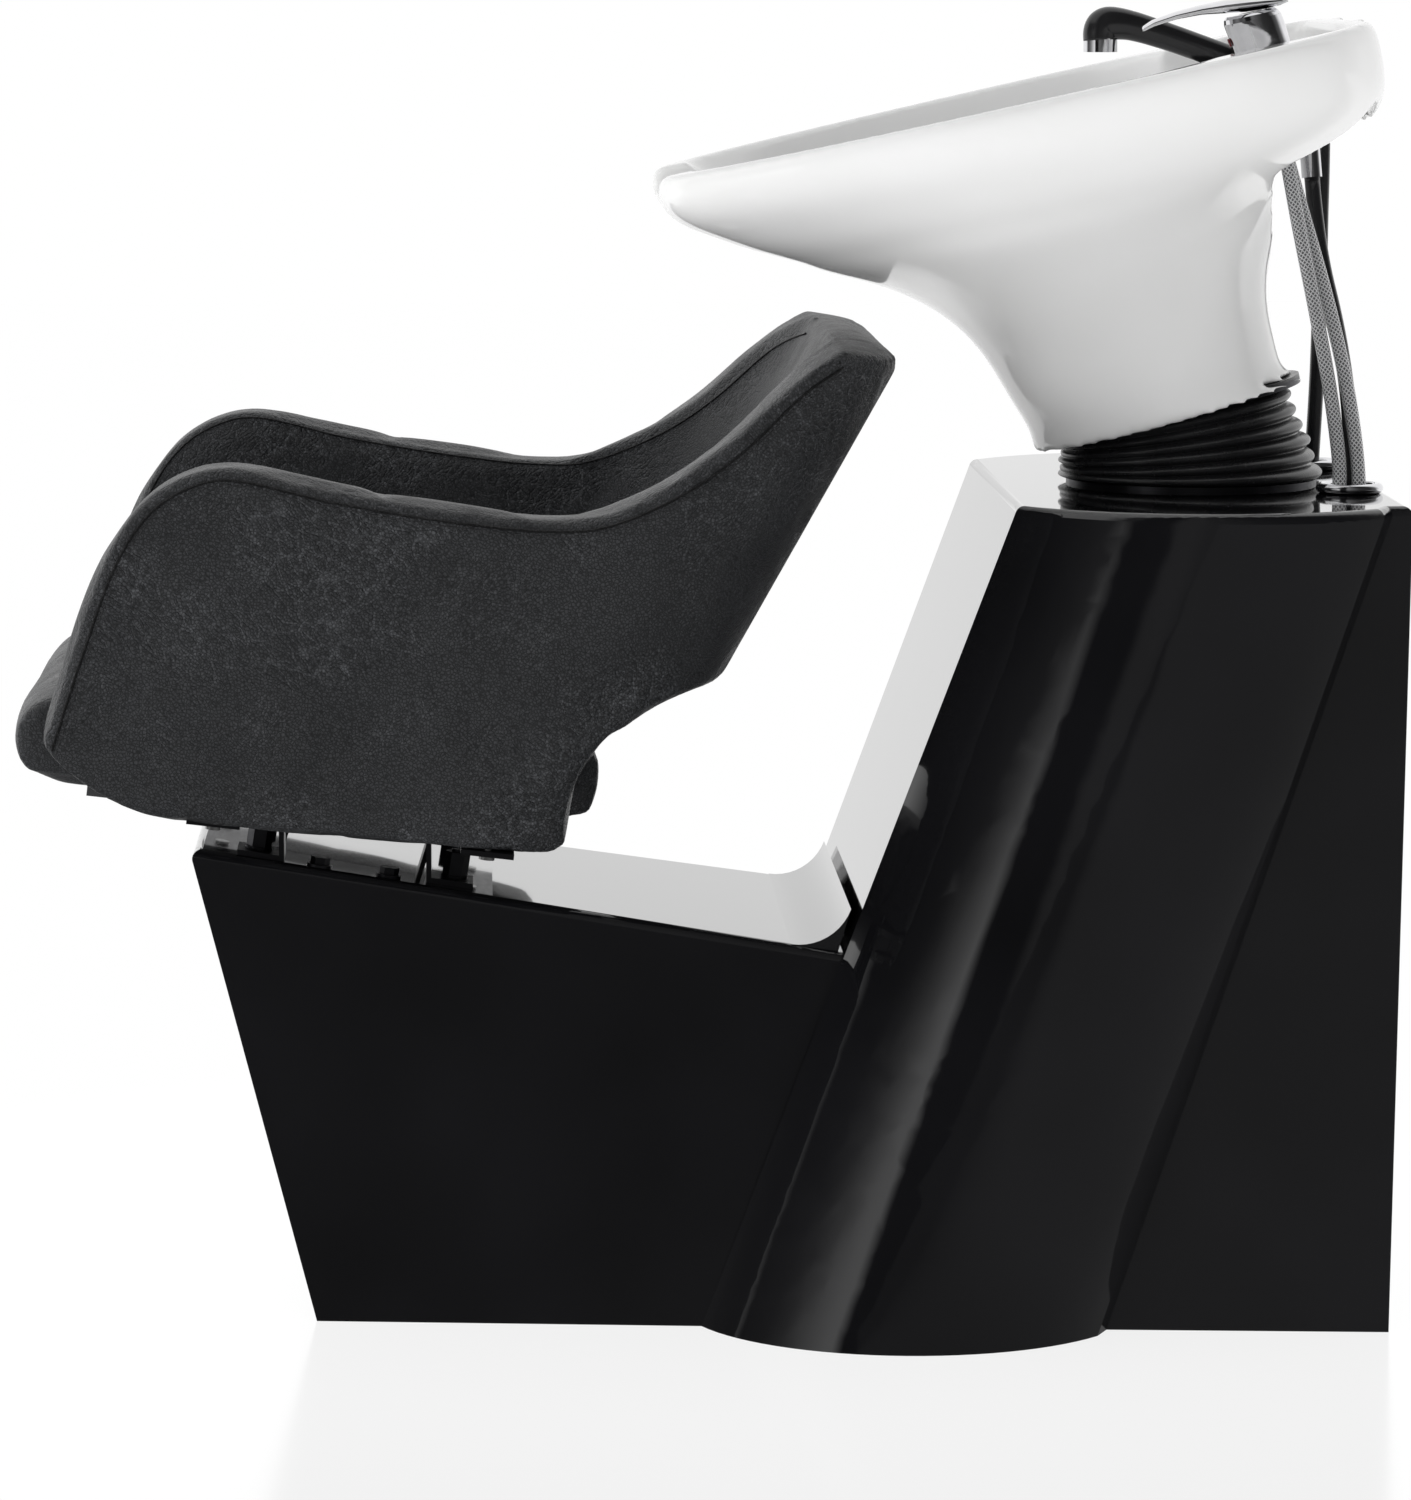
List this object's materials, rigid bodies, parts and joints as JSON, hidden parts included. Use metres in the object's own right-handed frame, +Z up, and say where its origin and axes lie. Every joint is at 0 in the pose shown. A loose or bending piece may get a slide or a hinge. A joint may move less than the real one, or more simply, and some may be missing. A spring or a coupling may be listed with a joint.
{
  "type": "salon backwash unit",
  "caption": "Salon shampoo unit: black upholstered chair on a glossy black pedestal with a tilting white ceramic basin, mixer tap and hand shower.",
  "frame": {"origin": "middle of the footprint box, on the floor", "axes": "+X from the chair to the tower, +Y towards the side of the hand shower, +Z up"},
  "size_m": [1.0604, 0.6218, 1.0147],
  "materials": {
    "gloss_black": "high gloss moulded surface",
    "tray_steel": "plain sheet steel",
    "zinc_steel": "zinc plated",
    "brass_fitting": "turned",
    "black_leatherette": "fine grained, satin",
    "ply_board": "plain plywood",
    "white_glaze": "glossy white glaze",
    "black_rubber": "moulded, slightly glossy",
    "grey_plastic": "plain plumbing plastic",
    "chrome_trim": "polished",
    "braided_steel": "fine wire braid",
    "black_plastic": "satin",
    "spray_grey": "moulded rose",
    "index_red": "small coloured button"
  },
  "bodies": {
    "base": {"base_shell": "gloss_black", "service_tray": "tray_steel", "tray_screws": "tray_steel", "hot_inlet": "brass_fitting", "cold_inlet": "brass_fitting", "inlet_nuts": "brass_fitting", "chair_wrap": "black_leatherette", "seat_cushion": "black_leatherette", "seat_board": "ply_board", "seat_screws": "zinc_steel", "shell_straps": "zinc_steel", "near_seat_bracket": "zinc_steel", "far_seat_bracket": "zinc_steel", "bracket_studs": "zinc_steel", "bracket_washers": "zinc_steel", "bracket_nuts": "zinc_steel", "seat_mount_plate": "tray_steel", "plinth_bolts": "zinc_steel", "hinge_pin": "tray_steel", "pin_clips": "tray_steel", "tilt_bracket": "tray_steel", "mount_bolts": "tray_steel", "bellows": "black_rubber", "bellows_ring": "black_rubber", "waste_hose": "grey_plastic", "waste_trap": "grey_plastic", "hot_supply_hose": "braided_steel", "cold_supply_hose": "braided_steel", "shower_hose": "black_plastic", "near_hose_ring": "chrome_trim", "far_hose_ring": "chrome_trim"},
    "basin": {"basin": "white_glaze", "foot_gasket": "black_rubber", "basin_carrier": "tray_steel", "carrier_bolts": "tray_steel", "hinge_bushes": "grey_plastic", "waste_flange": "chrome_trim", "waste_seal": "black_rubber", "waste_backnut": "tray_steel", "tap_body": "chrome_trim", "tap_seal": "black_rubber", "tap_backnut": "brass_fitting", "tap_cartridge": "grey_plastic", "tap_index": "index_red", "shower_holder": "black_plastic", "supply_nuts": "chrome_trim", "shower_ferrule": "chrome_trim"},
    "tap_cap": {"tap_cap": "chrome_trim"},
    "tap_lever": {"tap_lever": "chrome_trim"},
    "hand_shower": {"shower_handle": "black_plastic", "shower_nozzle": "chrome_trim", "spray_face": "spray_grey", "shower_tail": "chrome_trim"},
    "hair_strainer": {"hair_strainer": "chrome_trim"}
  },
  "joints": [
    {"name": "basin_tilt", "type": "hinge", "parent": "base", "child": "basin", "pos_m": [0.33726, 0, 0.669], "axis": [0, 1, 0], "range_deg": [-6, 10], "deforming": ["bellows", "waste_hose", "hot_supply_hose", "cold_supply_hose", "shower_hose"]},
    {"name": "tap_turn", "type": "hinge", "parent": "basin", "child": "tap_cap", "pos_m": [0.42634, -0.06, 0.99706], "axis": [-0.2164, 0, 0.9763], "range_deg": [-45, 45]},
    {"name": "lever_lift", "type": "hinge", "parent": "tap_cap", "child": "tap_lever", "pos_m": [0.44849, -0.06, 1.00812], "axis": [0, 1, 0], "range_deg": [0, 18]},
    {"name": "shower_pull", "type": "slide", "parent": "basin", "child": "hand_shower", "axis": [-0.9367, 0, 0.3502], "range_m": [0, 0.05], "deforming": ["shower_hose"]},
    {"name": "strainer_lift", "type": "slide", "parent": "basin", "child": "hair_strainer", "axis": [-0.2164, 0, 0.9763], "range_m": [0, 0.03]}
  ]
}
